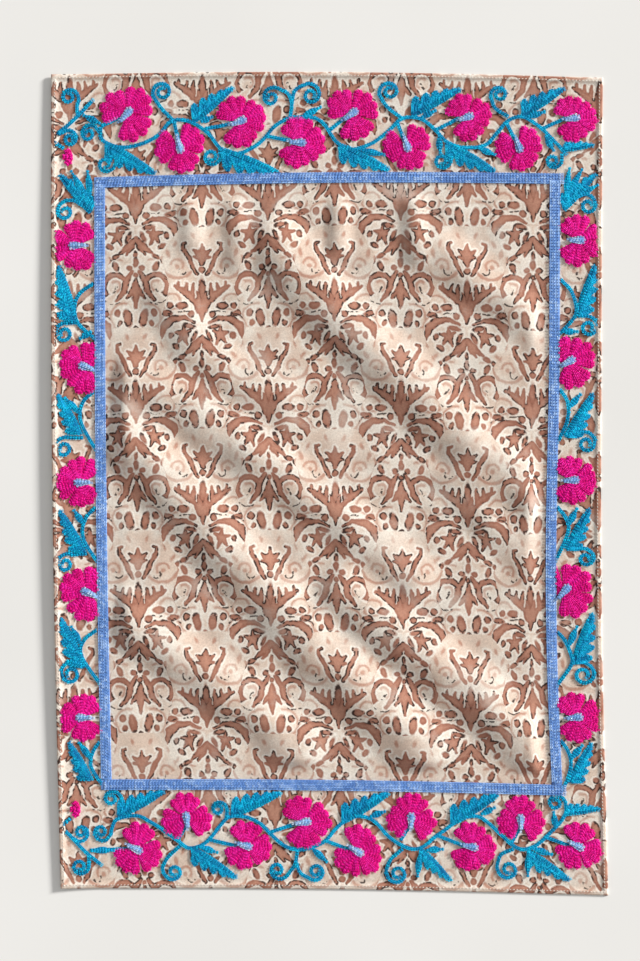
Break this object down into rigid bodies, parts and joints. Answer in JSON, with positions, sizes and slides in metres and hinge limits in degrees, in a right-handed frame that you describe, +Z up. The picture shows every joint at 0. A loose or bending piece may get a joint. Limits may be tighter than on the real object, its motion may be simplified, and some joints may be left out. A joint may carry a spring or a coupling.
{
  "type": "embroidered dish towel",
  "caption": "Printed cotton dish towel lying open with soft creases, its border chain-stitched with flowers, a leafy vine and a frame band.",
  "frame": {"origin": "middle of the lying towel's box, on the surface that it rests on", "axes": "+Y along the length towards the top border, +X across it to the right, +Z up off the printed face"},
  "size_m": [0.4822, 0.713, 0.0062],
  "materials": {
    "cotton_print": "plain woven cotton, matte, cream ground printed with a soft brown damask",
    "thread_magenta": "chain-stitched embroidery thread, soft sheen",
    "thread_turquoise": "chain-stitched embroidery thread, soft sheen",
    "thread_blue": "chain-stitched embroidery thread, soft sheen"
  },
  "bodies": {
    "root": {"band_bottom": "thread_blue", "band_left": "thread_blue", "band_right": "thread_blue", "band_top": "thread_blue", "bud_bottom": "thread_magenta", "bud_top": "thread_magenta", "cloth": "cotton_print", "flower_bottom_1": "thread_magenta", "flower_bottom_2": "thread_magenta", "flower_bottom_3": "thread_magenta", "flower_bottom_4": "thread_magenta", "flower_bottom_5": "thread_magenta", "flower_bottom_6": "thread_magenta", "flower_bottom_7": "thread_magenta", "flower_bottom_8": "thread_magenta", "flower_bottom_9": "thread_magenta", "flower_left_1": "thread_magenta", "flower_left_2": "thread_magenta", "flower_left_3": "thread_magenta", "flower_left_4": "thread_magenta", "flower_left_5": "thread_magenta", "flower_right_1": "thread_magenta", "flower_right_2": "thread_magenta", "flower_right_3": "thread_magenta", "flower_right_4": "thread_magenta", "flower_right_5": "thread_magenta", "flower_top_1": "thread_magenta", "flower_top_2": "thread_magenta", "flower_top_3": "thread_magenta", "flower_top_4": "thread_magenta", "flower_top_5": "thread_magenta", "flower_top_6": "thread_magenta", "flower_top_7": "thread_magenta", "flower_top_8": "thread_magenta", "flower_top_9": "thread_magenta", "spray_bottom_corner": "thread_turquoise", "spray_left_1": "thread_turquoise", "spray_left_2": "thread_turquoise", "spray_left_3": "thread_turquoise", "spray_left_4": "thread_turquoise", "spray_left_5": "thread_turquoise", "spray_left_6": "thread_turquoise", "spray_right_1": "thread_turquoise", "spray_right_2": "thread_turquoise", "spray_right_3": "thread_turquoise", "spray_right_4": "thread_turquoise", "spray_right_5": "thread_turquoise", "spray_right_6": "thread_turquoise", "spray_top_corner": "thread_turquoise", "vine_bottom": "thread_turquoise", "vine_top": "thread_turquoise"}
  },
  "joints": []
}
